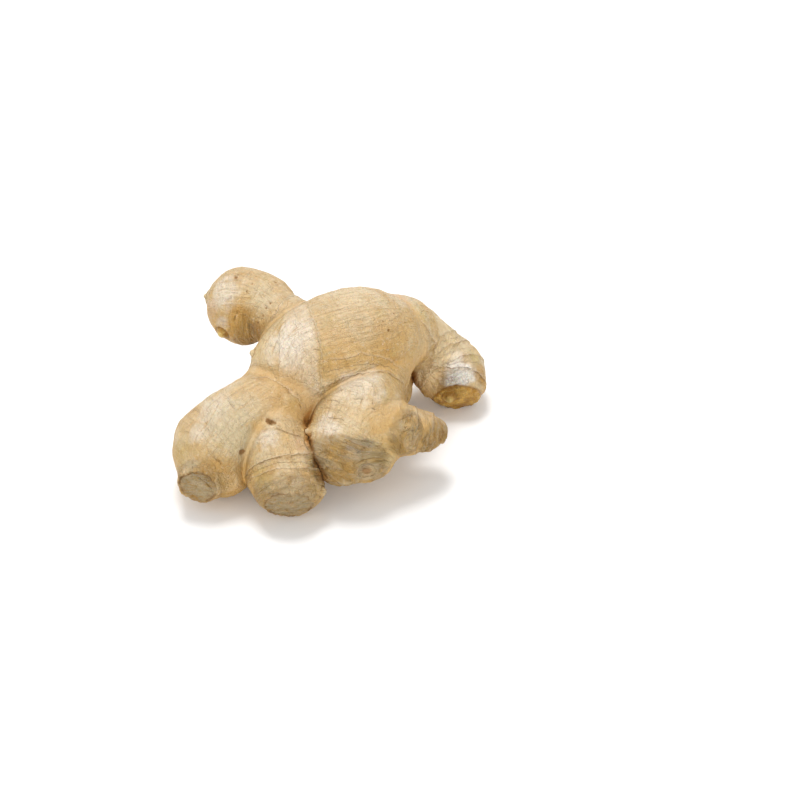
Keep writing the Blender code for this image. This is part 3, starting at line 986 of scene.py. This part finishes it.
def skin_material():
    """The peel. Numbers in ramps are levels of noise, or ways out and past as the mesh keeps them."""
    material = bpy.data.materials.new("ginger_peel")
    material.use_nodes = True
    tree = material.node_tree
    shader = tree.nodes["Principled BSDF"]
    w = Wiring(tree)
    place = w.add("ShaderNodeTexCoord").outputs["Object"]
    grain = w.attribute("grain", "Vector")
    past = w.attribute("past_ring")
    ring = w.attribute("ring")
    brown = w.attribute("ring_brown")
    way_out = w.attribute("way_out")
    eye_out = w.attribute("eye_out")
    gold = w.attribute("gold")
    bud_out = w.attribute("bud_out")
    strength = w.attribute("crack_strength")
    dents = w.attribute("dents")
    wrinkled = w.ramp(w.attribute("wrinkled"), 0.02, 0.7)
    crevice_shade = w.attribute("crevice_shade_mask")
    alone = w.attribute("alone")

    patches = w.noise(place, 220, 4, 0.6)
    specks = w.noise(place, 800, 3, 0.65)
    wobble = w.math("SUBTRACT", w.noise(place, 900, 2), 0.5)
    fibres = w.noise(w.stretched(grain, (0.13, 0.75, 0.75)), 1.0, 4, 0.6, 0.7)
    wrinkles = w.noise(w.stretched(grain, (0.7, 0.17, 0.17)), 1.0, 4, 0.6, 0.9)
    flakes = w.noise(w.stretched(grain, (0.45, 0.3, 0.3)), 1.0, 5, 0.7, 1.2)

    # Even skin with its fibres, blotches and specks, over the kept tone with its painted highlights and
    # bounce light
    colour = w.attribute("tone", "Vector")
    colour = w.mix(w.ramp(patches, 0.52, 0.8, 0, 0.3), colour, paint(CREAM))
    colour = w.mix(w.ramp(patches, 0.46, 0.24, 0, 0.25), colour, paint(OCHRE))
    colour = w.mix(w.times(w.ramp(fibres, 0.52, 0.75, 0, 0.28), alone), colour, paint(CREAM))
    colour = w.mix(w.times(w.ramp(fibres, 0.48, 0.3, 0, 0.36), alone), colour, paint(OCHRE))
    colour = w.mix(w.times(w.ramp(fibres, 0.36, 0.26, 0, 0.2), alone), colour, paint(RUSSET))
    colour = w.mix(w.ramp(specks, 0.6, 0.72, 0, 0.25), colour, paint(RUSSET))
    colour = w.mix(w.ramp(specks, 0.42, 0.3, 0, 0.25), colour, paint(PALE_PINK_AND_SHEEN))

    # Where fingers meet, the grain fades out and the skin is a little warmer
    colour = w.mix(w.ramp(alone, 1.0, 0.0, 0, 0.3), colour, paint(OCHRE))

    # Wrinkled parts: pale painted highlights on the folds' crests and ochre painted shade in the furrows
    # between them, following the wrinkles' bump, and short fine cracks
    fold = w.times(w.ramp(wrinkles, 0.5, 0.62), w.plus(wrinkled, 0.1), alone, 0.4)
    colour = w.mix(fold, colour, paint(CREAM))
    furrow_shade = w.times(w.ramp(wrinkles, 0.46, 0.36), w.plus(wrinkled, 0.2), alone, 0.5)
    colour = w.mix(furrow_shade, colour, paint(OCHRE))
    split = w.times(w.line(flakes, 0.5, 0.03, 0.008), w.ramp(patches, 0.54, 0.62),
                    w.plus(wrinkled, 0.03), alone)
    colour = w.mix(w.times(split, 0.6), colour, paint(SEAM))

    # Painted shade: skin that other parts of the root close in on is darkened towards a warm crevice shade
    colour = w.mix(w.ramp(crevice_shade, 0.45, 0.95, 0, 0.8), colour, paint(CREVICE_SHADE))

    # Growth rings: a pale frayed lip, partly pale skin and partly a painted highlight on its raised edge,
    # and a thin broken brown line under it
    ragged = w.plus(past, w.times(wobble, 1.1))
    lip = w.times(w.ramp(ragged, -1.0, -0.15), w.ramp(ragged, 0.05, -0.1), ring)
    colour = w.mix(w.times(lip, 0.14), colour, paint(PALE_PINK_AND_SHEEN))
    stain = w.times(w.ramp(past, -0.4, 0.2), w.ramp(past, 2.0, 0.3), brown)
    colour = w.mix(w.times(stain, 0.3), colour, paint(OCHRE))
    line = w.times(w.line(ragged, 0.2, 0.34, 0.05), w.ramp(w.noise(place, 330, 3), 0.36, 0.6), brown)
    colour = w.mix(w.times(line, 0.7), colour, paint(BROWN))

    # Broken ends: pale torn fibres inside a brown rim
    fray = w.noise(w.stretched(place, (260, 260, 900)), 1.0, 4, 0.65, 1.0)
    inside = w.ramp(way_out, 1.02, 0.9)
    torn = w.mix(w.ramp(fray, 0.3, 0.55), paint(OCHRE), paint(TORN))
    torn = w.mix(w.ramp(fray, 0.55, 0.75, 0, 0.8), torn, paint(CREAM))
    torn = w.mix(w.ramp(way_out, 0.7, 1.0, 0, 0.3), torn, paint(RUSSET))
    colour = w.mix(w.times(inside, 0.85), colour, torn)
    rim = w.times(w.line(way_out, 0.94, 0.07, 0.015), w.ramp(patches, 0.42, 0.55))
    colour = w.mix(w.times(rim, 0.6), colour, paint(BROWN))

    # Round scars: a reddish middle, a pale swollen ring and a broken brown line round it
    colour = w.mix(w.times(w.ramp(eye_out, 1.25, 0.8), 0.5), colour, paint(CREAM))
    colour = w.mix(w.times(w.ramp(eye_out, 0.5, 0.2), 0.75), colour, paint(RUSSET))
    edge = w.times(w.line(eye_out, 0.78, 0.1, 0.02), w.ramp(specks, 0.42, 0.55))
    colour = w.mix(w.times(edge, 0.5), colour, paint(BROWN))

    # Golden young skin
    golden = w.mix(w.ramp(patches, 0.35, 0.65), paint(GOLD_RIM), paint(DEEP_GOLD))
    golden = w.mix(w.ramp(specks, 0.55, 0.7, 0, 0.4), golden, paint(BUD_YELLOW))
    golden = w.mix(w.times(w.ramp(gold, 0.95, 0.3), 0.7), golden, paint(BROWN))
    colour = w.mix(w.ramp(gold, 0.0, 0.5, 0, 0.95), colour, golden)

    # Buds: a pale tip, partly pale yellow skin and partly a painted highlight, in a brown ring
    tip = w.mix(gold, paint(CREAM), paint(BUD_YELLOW))
    colour = w.mix(w.ramp(bud_out, 1.0, 0.3, 0, 0.8), colour, tip)
    foot = w.line(bud_out, 1.2, 0.3, 0.05)
    colour = w.mix(w.times(foot, w.ramp(patches, 0.4, 0.55), 0.55), colour, paint(BROWN))

    # Cracks and dents
    across = w.math("ABSOLUTE", w.plus(w.attribute("crack_across"), w.times(wobble, 1.6)))
    crack = w.times(w.ramp(across, 0.8, 0.15), strength, w.ramp(w.noise(place, 420, 3), 0.42, 0.6))
    colour = w.mix(w.times(crack, 0.5), colour, paint(BROWN))
    colour = w.mix(w.times(w.ramp(dents, 0.2, 0.8), 0.8), colour, paint(BROWN))
    w.feed(shader.inputs["Base Color"], colour)

    # Torn and cracked skin is duller than the rest, and young skin shines
    dullness = w.plus(w.ramp(patches, 0.3, 0.7, 0.4, 0.54), w.times(inside, 0.2), w.times(crack, 0.2),
                      w.times(gold, -0.25))
    w.feed(shader.inputs["Roughness"], w.math("ADD", dullness, w.times(wrinkled, 0.1), True))

    # Relief too fine for the mesh
    relief = w.plus(w.times(fibres, alone, 0.9), w.times(specks, 0.55), w.times(patches, 0.45),
                    w.times(wrinkles, alone, w.plus(w.times(wrinkled, 3.6), 0.8)),
                    w.times(flakes, wrinkled, 2.2), w.times(split, -0.4), w.times(line, -0.5),
                    w.times(lip, 0.25), w.times(crack, -0.5),
                    w.times(inside, fray, w.math("SUBTRACT", 1.0, w.times(gold, 0.8))))
    bump = w.add("ShaderNodeBump", Height=relief, Strength=1.0, Distance=0.0018)
    w.feed(shader.inputs["Normal"], bump.outputs["Normal"])
    shader.inputs["Subsurface Weight"].default_value = 0.1
    shader.inputs["Subsurface Radius"].default_value = (1.0, 0.5, 0.2)
    shader.inputs["Subsurface Scale"].default_value = 0.002
    shader.inputs["Specular IOR Level"].default_value = 0.35
    return material


def plain_floor():
    """The white table that the root lies on."""
    mesh = bmesh.new()
    bmesh.ops.create_grid(mesh, x_segments=1, y_segments=1, size=FLOOR_HALF)
    floor = linked("floor", mesh)
    material = bpy.data.materials.new("white_table")
    material.use_nodes = True
    shader = material.node_tree.nodes["Principled BSDF"]
    shader.inputs["Base Color"].default_value = (FLOOR_WHITE, FLOOR_WHITE, FLOOR_WHITE, 1)
    shader.inputs["Roughness"].default_value = 0.7
    shader.inputs["Specular IOR Level"].default_value = 0.2
    floor.data.materials.append(material)


def lamp(name, place, size, watts):
    """A soft square lamp that is turned to the root."""
    data = bpy.data.lights.new(name, "AREA")
    data.size = size
    data.energy = watts
    obj = bpy.data.objects.new(name, data)
    obj.location = place
    obj.rotation_mode = "QUATERNION"
    obj.rotation_quaternion = (Vector(LAMP_AIM) - Vector(place)).to_track_quat("-Z", "Y")
    bpy.context.scene.collection.objects.link(obj)


def studio():
    """The light: a pale room all round and three soft lamps."""
    world = bpy.data.worlds.new("pale_room")
    world.use_nodes = True
    background = world.node_tree.nodes["Background"]
    background.inputs["Color"].default_value = (1, 1, 1, 1)
    background.inputs["Strength"].default_value = ROOM_LIGHT
    bpy.context.scene.world = world
    for name, place, size, watts in LAMPS:
        lamp(name, place, size, watts)
    bpy.context.scene.view_settings.view_transform = "Standard"


def photo_camera():
    """The camera that the photograph's view comes from."""
    camera = bpy.data.objects.new("photo_camera", bpy.data.cameras.new("photo_camera"))
    bpy.context.scene.collection.objects.link(camera)
    back = Vector((0, -math.cos(VIEW_RISE), math.sin(VIEW_RISE)))
    camera.location = (Vector(VIEW_TARGET) - Vector(MIDDLE) + back * VIEW_DISTANCE) * MM
    camera.rotation_mode = "QUATERNION"
    camera.rotation_quaternion = (-back).to_track_quat("-Z", "Y")
    camera.data.sensor_width = SENSOR
    camera.data.lens = SENSOR * VIEW_DISTANCE * POINTS_PER_MM / PICTURE_WIDTH
    camera.data.clip_start = 0.01
    bpy.context.scene.camera = camera


root = rhizome()
root.data.materials.append(skin_material())
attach(root, "root")
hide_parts(NODE)
plain_floor()
studio()
photo_camera()
